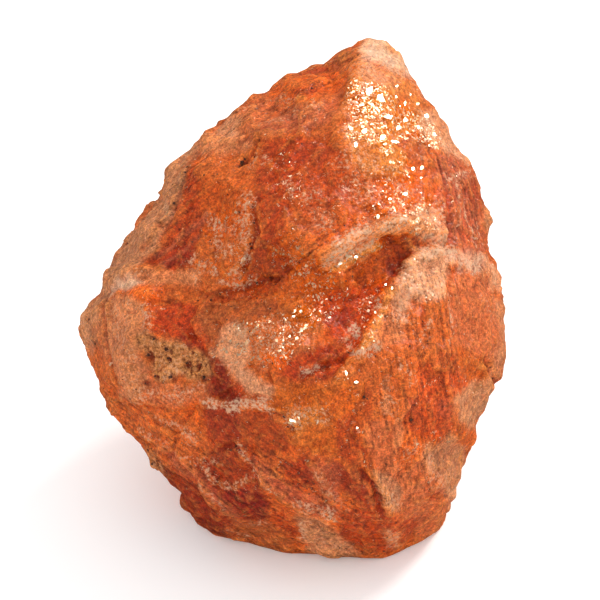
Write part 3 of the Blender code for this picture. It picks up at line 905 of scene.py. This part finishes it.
def paintedColours():
    # the hidden side's cells, the areas and strokes of the picture, pits and crevices painted
    # darker brown, soft clouds, and then a painted golden highlight on raised places and painted
    # shade in hollows
    colours = paintedBack()
    colours = blend(colours, inFront * 0.9, palette["orange"] * 0.6 + palette["warm"] * 0.4)
    for number, (colour, strength, outline) in enumerate(areas):
        share = ground["strength"] * strength * areaShare(outline, number)
        colours = blend(colours, share, palette[colour])
    for number, (colour, strength, radius, path) in enumerate(strokes):
        colours = blend(colours, strength * strokeShare(path, radius, number), palette[colour])
    # pits painted dark brown
    for x, y, radius in pits:
        share = strokeShare([(x, y)], radius * 0.9, 0, edge=0.8, ragged=0.3)
        colours = blend(colours, ground["pitDarkening"] * share, palette["brown"])
    # crevices painted darker brown
    for number, (path, radius, _) in enumerate(crevices):
        share = strokeShare(path, radius * 0.7, number, edge=1.2)
        colours = blend(colours, ground["creviceDarkening"] * share, palette["brown"])
    size, part = ground["brighter"]
    colours = blend(colours, part * smooth(cloud(rest, size, 91), 0.1, 0.8), palette["bright"])
    size, part = ground["rustier"]
    colours = blend(colours, part * smooth(cloud(rest, size, 95), 0.2, 0.8), palette["rust"])
    # painted highlight: raised places turn golden; painted shade: hollows turn deep red
    for passes, part in ground["ridgeHighlightHollowShade"]:
        proud = ((points - relax(points, quads, 0.5, passes)) * normals).sum(-1)
        proud = np.clip(proud / proud.std(), -2, 2)
        colours = blend(colours, part * np.clip(proud, 0, 2), palette["gold"])
        colours = blend(colours, part * np.clip(-proud, 0, 2), palette["deep"])
    return np.clip(colours, 0.002, 1)


def veilAndGlintShare():
    # how thick the pale grains lie, in the veils and in the painted glints
    total = 0.25 * smooth(mottles[1], 0.1, 0.9)
    total += 0.30 * (1 - inFront) * smooth(cloud(rest, 2.4, 77), 0.1, 0.6)
    for number, (strength, radius, path) in enumerate(veilsAndGlints):
        total = np.maximum(total, strength * strokeShare(path, radius * 1.5, number, edge=1.6))
    return total


def sparkleShare():
    # where the sparkling stretches are, with a little everywhere
    total = 0.15 + 0.2 * smooth(mottles[2], 0.0, 0.8)
    for number, (strength, radius, path) in enumerate(sparkles):
        total = np.maximum(total, strength * strokeShare(path, radius, number))
    return total


def crustShare():
    total = np.zeros(len(rest))
    for number, (colour, _, outline) in enumerate(areas):
        if colour == "crust":
            total = np.maximum(total, areaShare(outline, number))
    return total


streakRuns = [(0.82, 0.57), (0.84, -0.54), (0.18, 0.98)]     # picture directions of fine streaks


def streakShares():
    # how much each streak direction shows: the sheets that run that way
    shares = np.zeros((len(rest), 3))
    for number, (path, radius, run, _, _) in enumerate(sheets):
        nearest = int(np.argmax([abs(np.dot(unit(np.array(run)), other)) for other in streakRuns]))
        share = strokeShare(path, radius, number, edge=1.2)
        shares[:, nearest] = np.maximum(shares[:, nearest], share)
    shares[:, 0] = np.maximum(shares[:, 0], (1 - inFront) * smooth(mottles[2], -0.2, 0.4))
    return shares


def setAttribute(mesh, name, values):
    if values.ndim == 1:
        made = mesh.attributes.new(name, "FLOAT", "POINT")
        made.data.foreach_set("value", values.astype(np.float32))
    else:
        made = mesh.attributes.new(name, "FLOAT_COLOR", "POINT")
        full = np.concatenate([values, np.ones((len(values), 1))], 1)
        made.data.foreach_set("color", full.astype(np.float32).ravel())


def addNode(tree, kind, values=None, **settings):
    made = tree.nodes.new(kind)
    for name, value in settings.items():
        setattr(made, name, value)
    for key, value in (values or {}).items():
        if isinstance(value, bpy.types.NodeSocket):
            tree.links.new(value, made.inputs[key])
        else:
            made.inputs[key].default_value = value
    return made


def newMaterial(name):
    material = bpy.data.materials.new(name)
    material.use_nodes = True
    tree = material.node_tree
    return material, tree, tree.nodes["Principled BSDF"]


def worked(tree, operation, *values):
    # one sum on plain numbers
    return addNode(tree, "ShaderNodeMath", dict(enumerate(values)),
                   operation=operation).outputs["Value"]


def vectorWorked(tree, operation, *values):
    made = addNode(tree, "ShaderNodeVectorMath", dict(enumerate(values)), operation=operation)
    return made.outputs["Vector"]


def scaled(tree, vector, factor):
    made = addNode(tree, "ShaderNodeVectorMath", {0: vector, "Scale": factor}, operation="SCALE")
    return made.outputs["Vector"]


def between(tree, value, fromLow, fromHigh, toLow, toHigh):
    made = addNode(tree, "ShaderNodeMapRange",
                   {"Value": value, "From Min": fromLow, "From Max": fromHigh,
                    "To Min": toLow, "To Max": toHigh}, interpolation_type="SMOOTHSTEP")
    return made.outputs["Result"]


def mixed(tree, share, first, second):
    made = addNode(tree, "ShaderNodeMix", data_type="RGBA")
    for socket, value in zip([made.inputs[0], made.inputs[6], made.inputs[7]],
                             [share, first, second]):
        if isinstance(value, bpy.types.NodeSocket):
            tree.links.new(value, socket)
        else:
            socket.default_value = value
    return made.outputs[2]


def noiseOf(tree, place, size, detail=2.0, roughness=0.55):
    made = addNode(tree, "ShaderNodeTexNoise",
                   {"Vector": place, "Scale": 1 / (size * mm), "Detail": detail,
                    "Roughness": roughness})
    return made.outputs["Fac"]


def attributeOf(tree, name, output):
    return addNode(tree, "ShaderNodeAttribute", attribute_name=name).outputs[output]


feldspar = {
    "grain": (0.36, 0.32),            # size, and how far it lightens and darkens
    "fine": (0.15, 0.30),
    "crystal": (0.55, 0.10),
    "veilAndGlintGrain": (0.30, 0.80),        # size, strength
    "crustGrain": (0.40, 0.75, 0.55), # size, how strongly dark and pale grains show
    "darkFleck": (0.55, 0.35),
    "streak": (0.26, 3.6, 0.26),      # width, length, contrast
    "roughness": (0.60, 0.20),        # dull stretches, sparkling stretches
    "bumpDepth": 0.12,
    "facetTilt": 0.42,
    "flakeSize": 0.20,
    "flakeSpread": 0.25,
    "flakeLimit": 0.93,               # in full sparkle, the share of places without a flake
    "flakeMetal": 0.35,
    "flakeGold": 0.6,
    "curl": (0.34, 0.022),            # size and width of the curled glints
    "curlLimit": (0.22, 0.71),        # what full sparkle adds, and what noise must then pass
    "subsurface": 0.15,
    "subsurfaceDepth": 0.6,
    "shine": 0.25,
    "coat": 0.3,
}


def crystalNormal(tree, place, sparkle, grain):
    # bumps from the grain, then a random lean for every crystal; in the sparkling stretches some
    # small flakes and curled lines lie the same way as the flashing faces
    height = worked(tree, "ADD", grain, worked(tree, "MULTIPLY", noiseOf(tree, place, 0.15), 0.35))
    bump = addNode(tree, "ShaderNodeBump",
                   {"Height": height, "Strength": 1.0, "Distance": feldspar["bumpDepth"] * mm})
    normal = bump.outputs["Normal"]
    for size, part in ((0.7, 1.0), (0.3, 0.8)):
        cells = addNode(tree, "ShaderNodeTexVoronoi", {"Vector": place, "Scale": 1 / (size * mm)})
        lean = vectorWorked(tree, "SUBTRACT", cells.outputs["Color"], (0.5, 0.5, 0.5))
        lean = scaled(tree, lean, feldspar["facetTilt"] * part)
        normal = vectorWorked(tree, "ADD", normal, lean)
    flakes = addNode(tree, "ShaderNodeTexVoronoi",
                     {"Vector": place, "Scale": 1 / (feldspar["flakeSize"] * mm)})
    random = vectorWorked(tree, "SUBTRACT", flakes.outputs["Color"], (0.5, 0.5, 0.5))
    facing = vectorWorked(tree, "ADD", scaled(tree, random, feldspar["flakeSpread"]),
                          tuple(flashFacing))
    chosen = addNode(tree, "ShaderNodeSeparateColor", {"Color": flakes.outputs["Color"]})
    limit = between(tree, sparkle, 0.4, 1.0, 1.0, feldspar["flakeLimit"])
    isFlake = worked(tree, "GREATER_THAN", chosen.outputs["Red"], limit)
    size, width = feldspar["curl"]
    curl = worked(tree, "SUBTRACT", noiseOf(tree, place, size, 1.0), 0.5)
    curl = worked(tree, "LESS_THAN", worked(tree, "ABSOLUTE", curl), width)
    added, limit = feldspar["curlLimit"]
    gate = worked(tree, "ADD", noiseOf(tree, place, 0.5, 2.0),
                  worked(tree, "MULTIPLY", sparkle, added))
    curl = worked(tree, "MULTIPLY", curl, worked(tree, "GREATER_THAN", gate, limit))
    isFlake = worked(tree, "MAXIMUM", isFlake, curl)
    turned = addNode(tree, "ShaderNodeVectorTransform", {"Vector": facing}, vector_type="NORMAL",
                     convert_from="OBJECT", convert_to="WORLD").outputs["Vector"]
    normal = vectorWorked(tree, "ADD", vectorWorked(tree, "NORMALIZE", normal),
                          scaled(tree, turned, worked(tree, "MULTIPLY", isFlake, 3.0)))
    return vectorWorked(tree, "NORMALIZE", normal), isFlake


def streakContrast(tree, place):
    # long thin noise along each streak direction, shown by that direction's share
    shares = attributeOf(tree, "streaks", "Color")
    shares = addNode(tree, "ShaderNodeSeparateColor", {"Color": shares})
    width, length, contrast = feldspar["streak"]
    total = None
    for run, output in zip(streakRuns, ("Red", "Green", "Blue")):
        along = unit(viewRight * run[0] - viewUp * run[1])
        across = np.cross(along, viewOut)
        axes = Matrix(np.stack([across, along, viewOut], 1).tolist())
        turned = addNode(tree, "ShaderNodeMapping",
                         {"Vector": place, "Rotation": tuple(axes.to_euler()),
                          "Scale": (width * mm, length * mm, 0.8 * mm)}, vector_type="TEXTURE")
        noise = addNode(tree, "ShaderNodeTexNoise",
                        {"Vector": turned.outputs["Vector"], "Scale": 1.0, "Detail": 2.0})
        value = between(tree, noise.outputs["Fac"], 0.35, 0.65, -contrast, contrast)
        value = worked(tree, "MULTIPLY", value, shares.outputs[output])
        total = value if total is None else worked(tree, "ADD", total, value)
    return total


def grainedLight(tree, place, grain):
    # how much lighter or darker than its tint each place is: grain, crystals and streaks
    _, amount = feldspar["grain"]
    light = between(tree, grain, 0.3, 0.7, 1 - amount, 1 + amount)
    size, amount = feldspar["fine"]
    fine = between(tree, noiseOf(tree, place, size), 0.3, 0.7, 1 - amount, 1 + amount)
    light = worked(tree, "MULTIPLY", light, fine)
    size, amount = feldspar["crystal"]
    cells = addNode(tree, "ShaderNodeTexVoronoi", {"Vector": place, "Scale": 1 / (size * mm)})
    cell = addNode(tree, "ShaderNodeSeparateColor", {"Color": cells.outputs["Color"]})
    light = worked(tree, "MULTIPLY", light,
                   between(tree, cell.outputs["Green"], 0.0, 1.0, 1 - amount, 1 + amount))
    light = worked(tree, "ADD", light, streakContrast(tree, place))
    return worked(tree, "MAXIMUM", light, 0.25)


def fleckedColour(tree, place, colour, crust):
    # pale grains in veils and painted glints, dark and pale grains in the crust, and rusty flecks
    # everywhere
    veilAndGlint = attributeOf(tree, "veilAndGlint", "Fac")
    size, amount = feldspar["veilAndGlintGrain"]
    fleck = noiseOf(tree, vectorWorked(tree, "ADD", place, (0.1, 0.2, 0.3)), size, 3.0, 0.7)
    fleck = between(tree, worked(tree, "ADD", fleck, worked(tree, "MULTIPLY", veilAndGlint, 0.22)),
                    0.58, 0.80, 0.0, amount)
    fleck = worked(tree, "MULTIPLY", fleck, between(tree, veilAndGlint, 0.0, 0.3, 0.25, 1.0))
    whiter = mixed(tree, veilAndGlint, tuple(palette["peach"]) + (1,), tuple(palette["blush"]) + (1,))
    colour = mixed(tree, fleck, colour, whiter)
    size, low, high = feldspar["crustGrain"]
    pores = noiseOf(tree, place, size, 3.0, 0.65)
    dark = worked(tree, "MULTIPLY", crust, between(tree, pores, 0.34, 0.50, low, 0.0))
    colour = mixed(tree, dark, colour, tuple(palette["brown"]) + (1,))
    light = worked(tree, "MULTIPLY", crust, between(tree, pores, 0.52, 0.66, 0.0, high))
    colour = mixed(tree, light, colour, tuple(palette["pale"]) + (1,))
    size, amount = feldspar["darkFleck"]
    stain = noiseOf(tree, vectorWorked(tree, "ADD", place, (0.5, 0.1, 0.7)), size, 3.0, 0.7)
    stain = between(tree, stain, 0.60, 0.74, 0.0, amount)
    return mixed(tree, stain, colour, tuple(palette["rust"] * 0.8) + (1,))


def stoneMaterial():
    material, tree, shader = newMaterial("sunstoneFeldspar")
    place = addNode(tree, "ShaderNodeTexCoord").outputs["Object"]
    sparkle = attributeOf(tree, "sparkle", "Fac")
    crust = attributeOf(tree, "crust", "Fac")
    grain = noiseOf(tree, place, feldspar["grain"][0], 3.0, 0.6)
    tint = attributeOf(tree, "tint", "Color")
    colour = scaled(tree, tint, grainedLight(tree, place, grain))
    colour = fleckedColour(tree, place, colour, crust)
    normal, isFlake = crystalNormal(tree, place, sparkle, grain)
    gold = worked(tree, "MULTIPLY", isFlake, feldspar["flakeGold"])
    colour = mixed(tree, gold, colour, (1.0, 0.78, 0.5, 1))
    rough = between(tree, sparkle, 0.0, 1.0, *feldspar["roughness"])
    rough = worked(tree, "MULTIPLY", rough, between(tree, grain, 0.3, 0.7, 1.2, 0.8))
    rough = worked(tree, "MAXIMUM", rough, worked(tree, "MULTIPLY", crust, 0.85))
    metal = worked(tree, "MULTIPLY", isFlake, feldspar["flakeMetal"])
    tree.links.new(colour, shader.inputs["Base Color"])
    tree.links.new(rough, shader.inputs["Roughness"])
    tree.links.new(metal, shader.inputs["Metallic"])
    tree.links.new(normal, shader.inputs["Normal"])
    tree.links.new(normal, shader.inputs["Coat Normal"])
    shader.inputs["Specular IOR Level"].default_value = feldspar["shine"]
    shader.inputs["Subsurface Weight"].default_value = feldspar["subsurface"]
    shader.inputs["Subsurface Radius"].default_value = (1.0, 0.45, 0.2)
    shader.inputs["Subsurface Scale"].default_value = feldspar["subsurfaceDepth"] * mm
    shader.inputs["Coat Weight"].default_value = feldspar["coat"]
    shader.inputs["Coat Roughness"].default_value = 0.1
    return material


def shown(piece):
    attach(piece, "root")
    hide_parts("sunstone")


def buildStone():
    piece = pieceFrom("sunstoneBody", points, quads.tolist())
    setAttribute(piece.data, "tint", paintedColours())
    setAttribute(piece.data, "veilAndGlint", veilAndGlintShare())
    setAttribute(piece.data, "sparkle", sparkleShare())
    setAttribute(piece.data, "crust", crustShare())
    setAttribute(piece.data, "streaks", streakShares())
    piece.data.shade_smooth()
    piece.data.materials.append(stoneMaterial())
    shown(piece)
    return piece


body = buildStone()
bpy.data.objects.remove(lumpCopy)
print("stone painted")


def plateMesh(centres, facing, along, length, width, draw):
    # six-cornered plates: a ring of jittered corners on top, and a wider ring sunk in the stone
    across = unit(np.cross(facing, along))
    along = np.cross(across, facing)
    turns = np.arange(6) * math.pi / 3 + draw.uniform(-0.3, 0.3, (len(centres), 6))
    reach = draw.uniform(0.5, 1.15, (len(centres), 6))
    first = (np.cos(turns) * reach * length[:, None] / 2)[..., None] * along[:, None]
    other = (np.sin(turns) * reach * width[:, None] / 2)[..., None] * across[:, None]
    top = centres[:, None] + first + other + facing[:, None] * plates["proud"]
    low = centres[:, None] + 1.1 * (first + other) - facing[:, None] * plates["thick"]
    corners = np.concatenate([top, low], 1).reshape(-1, 3)
    ring = np.arange(6)
    after = (ring + 1) % 6
    faces = []
    for start in range(0, len(corners), 12):
        faces.append((ring + start).tolist())
        faces.append((ring[::-1] + 6 + start).tolist())
        faces += (np.stack([ring + 6, after + 6, after, ring], 1) + start).tolist()
    return corners, faces


def plateMaterial():
    # clear, slightly golden cleavage faces with a faint grain
    material, tree, shader = newMaterial("flashingCleavage")
    place = addNode(tree, "ShaderNodeTexCoord").outputs["Object"]
    grain = noiseOf(tree, place, 0.25, 2.0)
    colour = mixed(tree, between(tree, grain, 0.35, 0.65, 0.0, 1.0),
                   (0.95, 0.55, 0.25, 1), (1.0, 0.86, 0.66, 1))
    tree.links.new(colour, shader.inputs["Base Color"])
    tree.links.new(between(tree, grain, 0.3, 0.7, 0.12, 0.3), shader.inputs["Roughness"])
    bump = addNode(tree, "ShaderNodeBump",
                   {"Height": grain, "Strength": 0.3, "Distance": 0.02 * mm})
    tree.links.new(bump.outputs["Normal"], shader.inputs["Normal"])
    shader.inputs["Metallic"].default_value = 0.4
    shader.inputs["Coat Weight"].default_value = 0.5
    shader.inputs["Coat Roughness"].default_value = 0.08
    return material


def buildPlates():
    draw = np.random.default_rng(plates["seed"])
    placed = np.array([onStone(x, y, stoneTree) for x, y, _, _, _ in plates["placed"]])
    sizes = np.array([row[2:4] for row in plates["placed"]]) * picture["pixel"]
    angles = np.radians([row[4] for row in plates["placed"]])
    runs = np.cos(angles)[:, None] * viewRight + np.sin(angles)[:, None] * viewUp
    chance = np.clip(sparkleShare() - 0.25, 0, 1) ** 1.5 * smooth(normals @ flashFacing, 0.2, 0.7)
    chance += 0.01 * smooth(normals @ flashFacing, 0.5, 0.9)
    chosen = draw.choice(len(points), plates["scattered"], replace=False, p=chance / chance.sum())
    length = draw.uniform(*plates["length"], len(chosen))
    centres = np.concatenate([placed, points[chosen]])
    lengths = np.concatenate([sizes[:, 0], length])
    widths = np.concatenate([sizes[:, 1], length * draw.uniform(0.25, 0.7, len(chosen))])
    runs = np.concatenate([runs, draw.normal(0, 1, (len(chosen), 3))])
    facing = unit(flashFacing + draw.normal(0, plates["spread"], centres.shape)
                  * np.where(np.arange(len(centres)) < len(placed), 0.3, 1.0)[:, None])
    corners, faces = plateMesh(centres, facing, runs, lengths, widths, draw)
    piece = pieceFrom("cleavagePlates", corners, faces)
    piece.data.materials.append(plateMaterial())
    shown(piece)


buildPlates()
print("plates set")

inclusions = {
    "seed": 3,
    # place and radius in pixels
    "placed": [
        (242, 163, 2.6), (245, 159, 1.8), (254, 157, 1.6), (258, 155, 1.4), (260, 140, 1.8),
        (204, 175, 1.2), (187, 167, 1.6), (185, 172, 1.4), (174, 203, 1.6), (251, 248, 1.8),
        (253, 207, 1.2), (254, 223, 1.4), (250, 244, 1.3), (166, 349, 2.8), (168, 358, 2.0),
        (187, 363, 2.6), (148, 355, 2.6), (155, 376, 2.0), (170, 377, 2.6), (145, 383, 1.6),
        (154, 339, 1.8), (201, 365, 2.0), (204, 377, 2.4), (89, 320, 2.0), (95, 344, 1.6),
        (92, 341, 1.2), (130, 399, 1.6), (124, 350, 1.0), (364, 397, 2.0), (411, 420, 2.0),
        (410, 346, 1.2), (491, 367, 1.2), (493, 378, 1.8), (308, 481, 1.4), (312, 489, 1.4),
        (307, 489, 1.2), (314, 484, 1.0), (304, 487, 1.0), (309, 494, 1.1), (236, 446, 1.8),
        (240, 450, 1.2), (231, 450, 1.2), (262, 283, 1.6), (257, 283, 1.4), (270, 278, 1.5),
        (276, 284, 1.2), (274, 413, 1.4), (284, 417, 1.4), (288, 427, 1.2), (325, 367, 1.4),
        (331, 365, 1.2), (211, 300, 1.3), (220, 294, 1.2), (161, 286, 1.2), (162, 292, 1.1),
        (377, 493, 1.5), (374, 489, 1.2), (396, 523, 1.2), (300, 263, 1.2), (152, 464, 1.8),
        (148, 450, 1.6), (358, 55, 1.4), (127, 243, 1.5), (444, 496, 1.3), (437, 499, 1.2),
        (292, 508, 1.2), (286, 507, 1.1), (163, 383, 1.3), (302, 144, 1.2), (312, 88, 1.6),
        (371, 553, 1.4), (384, 551, 1.5), (422, 345, 1.0), (460, 430, 1.2), (318, 245, 1.0),
    ],
    "scattered": 260,
    "radius": (0.04, 0.11),
}


def pebbleMesh(centres, radius, facing, draw):
    # flattened pebbles: three rings of eight corners round the outward direction, pushed about a
    # little, closed by a point above and a point below, most of each sunk in the stone
    across = unit(np.cross(facing, draw.normal(0, 1, facing.shape)))
    along = np.cross(facing, across)
    heights = np.array([0.22, 0.05, -0.6])
    spans = np.array([0.62, 1.0, 0.6])
    turns = np.arange(8) * math.pi / 4
    reach = draw.uniform(0.65, 1.25, (len(centres), 1, 8)) * spans[None, :, None]
    stretch = draw.uniform(0.6, 1.0, (len(centres), 1, 1))
    ring = (across[:, None, None] * (np.cos(turns) * reach)[..., None]
            + along[:, None, None] * (np.sin(turns) * reach * stretch)[..., None])
    ring = ring + facing[:, None, None] * heights[None, :, None, None]
    ends = facing[:, None] * np.array([0.26, -0.7])[None, :, None]
    shape = np.concatenate([ring.reshape(len(centres), 24, 3), ends], 1)
    corners = (centres[:, None] + shape * radius[:, None, None]).reshape(-1, 3)
    index = np.arange(8)
    after = (index + 1) % 8
    walls = np.concatenate([np.stack([index + 8 * k + 8, after + 8 * k + 8,
                                      after + 8 * k, index + 8 * k], 1) for k in range(2)])
    caps = np.concatenate([np.stack([index, after, np.full(8, 24)], 1),
                           np.stack([after + 16, index + 16, np.full(8, 25)], 1)])
    faces = []
    for start in range(0, len(corners), 26):
        faces += (walls + start).tolist() + (caps + start).tolist()
    return corners, faces


def inclusionMaterial():
    material, tree, shader = newMaterial("darkIron")
    place = addNode(tree, "ShaderNodeTexCoord").outputs["Object"]
    grain = noiseOf(tree, place, 0.15, 2.0)
    colour = mixed(tree, between(tree, grain, 0.35, 0.65, 0.0, 1.0),
                   (0.035, 0.012, 0.005, 1), (0.14, 0.045, 0.015, 1))
    tree.links.new(colour, shader.inputs["Base Color"])
    tree.links.new(between(tree, grain, 0.3, 0.7, 0.7, 0.45), shader.inputs["Roughness"])
    return material


def buildInclusions():
    draw = np.random.default_rng(inclusions["seed"])
    placed = np.array([onStone(x, y, stoneTree) for x, y, _ in inclusions["placed"]])
    nearest = [np.argmin(np.linalg.norm(points - spot, axis=1)) for spot in placed]
    chosen = draw.choice(len(points), inclusions["scattered"], replace=False)
    centres = np.concatenate([placed, points[chosen]])
    radius = np.concatenate([[row[2] * picture["pixel"] for row in inclusions["placed"]],
                             draw.uniform(*inclusions["radius"], len(chosen))])
    facing = normals[np.concatenate([nearest, chosen])]
    corners, faces = pebbleMesh(centres, radius, facing, draw)
    piece = pieceFrom("darkInclusions", corners, faces)
    piece.data.materials.append(inclusionMaterial())
    shown(piece)


buildInclusions()
print("inclusions set")

table = {"size": 6.0, "colour": (0.93, 0.93, 0.93), "roughness": 0.7, "glow": 0.12}


def buildTable():
    half = table["size"] / 2
    corners = np.array([(-half, -half, 0), (half, -half, 0), (half, half, 0), (-half, half, 0)])
    floor = pieceFrom("tableTop", corners / mm, [(0, 1, 2, 3)])
    material, _, shader = newMaterial("whiteTable")
    shader.inputs["Base Color"].default_value = table["colour"] + (1,)
    shader.inputs["Roughness"].default_value = table["roughness"]
    shader.inputs["Specular IOR Level"].default_value = 0.1
    shader.inputs["Emission Color"].default_value = (1, 1, 1, 1)
    shader.inputs["Emission Strength"].default_value = table["glow"]
    floor.data.materials.append(material)
    floor.visible_glossy = False


lights = {
    "sky": 1.13,
    "keyAway": 0.6,                 # metres
    "keySize": 0.16,                # metres
    "keyPower": 2.2,
}


def buildLights():
    world = bpy.data.worlds.new("studio")
    world.use_nodes = True
    bpy.context.scene.world = world
    back = world.node_tree.nodes["Background"]
    back.inputs["Color"].default_value = (1, 1, 1, 1)
    back.inputs["Strength"].default_value = lights["sky"]
    world.cycles_visibility.glossy = False        # only the softbox mirrors in the stone
    light = bpy.data.lights.new("softbox", "AREA")
    light.shape = "SQUARE"
    light.size = lights["keySize"]
    light.energy = lights["keyPower"]
    light.color = (1.0, 0.98, 0.95)
    holder = bpy.data.objects.new("softbox", light)
    toward = Vector(picture["softbox"]).normalized()
    holder.location = Vector(aim * mm) + toward * lights["keyAway"]
    holder.rotation_mode = "QUATERNION"
    holder.rotation_quaternion = toward.to_track_quat("Z", "Y")
    bpy.context.scene.collection.objects.link(holder)


def buildCamera():
    data = bpy.data.cameras.new("camera")
    data.sensor_width = 36.0
    data.lens = 36.0 * picture["distance"] / (picture["pixel"] * picture["width"])
    data.clip_start = 0.01
    data.clip_end = 20.0
    camera = bpy.data.objects.new("camera", data)
    camera.location = Vector(eye * mm)
    camera.rotation_mode = "QUATERNION"
    camera.rotation_quaternion = Vector(viewOut).to_track_quat("Z", "Y")
    bpy.context.scene.collection.objects.link(camera)
    bpy.context.scene.camera = camera


buildTable()
buildLights()
buildCamera()
bpy.context.scene.view_settings.view_transform = "Standard"
print("studio ready")
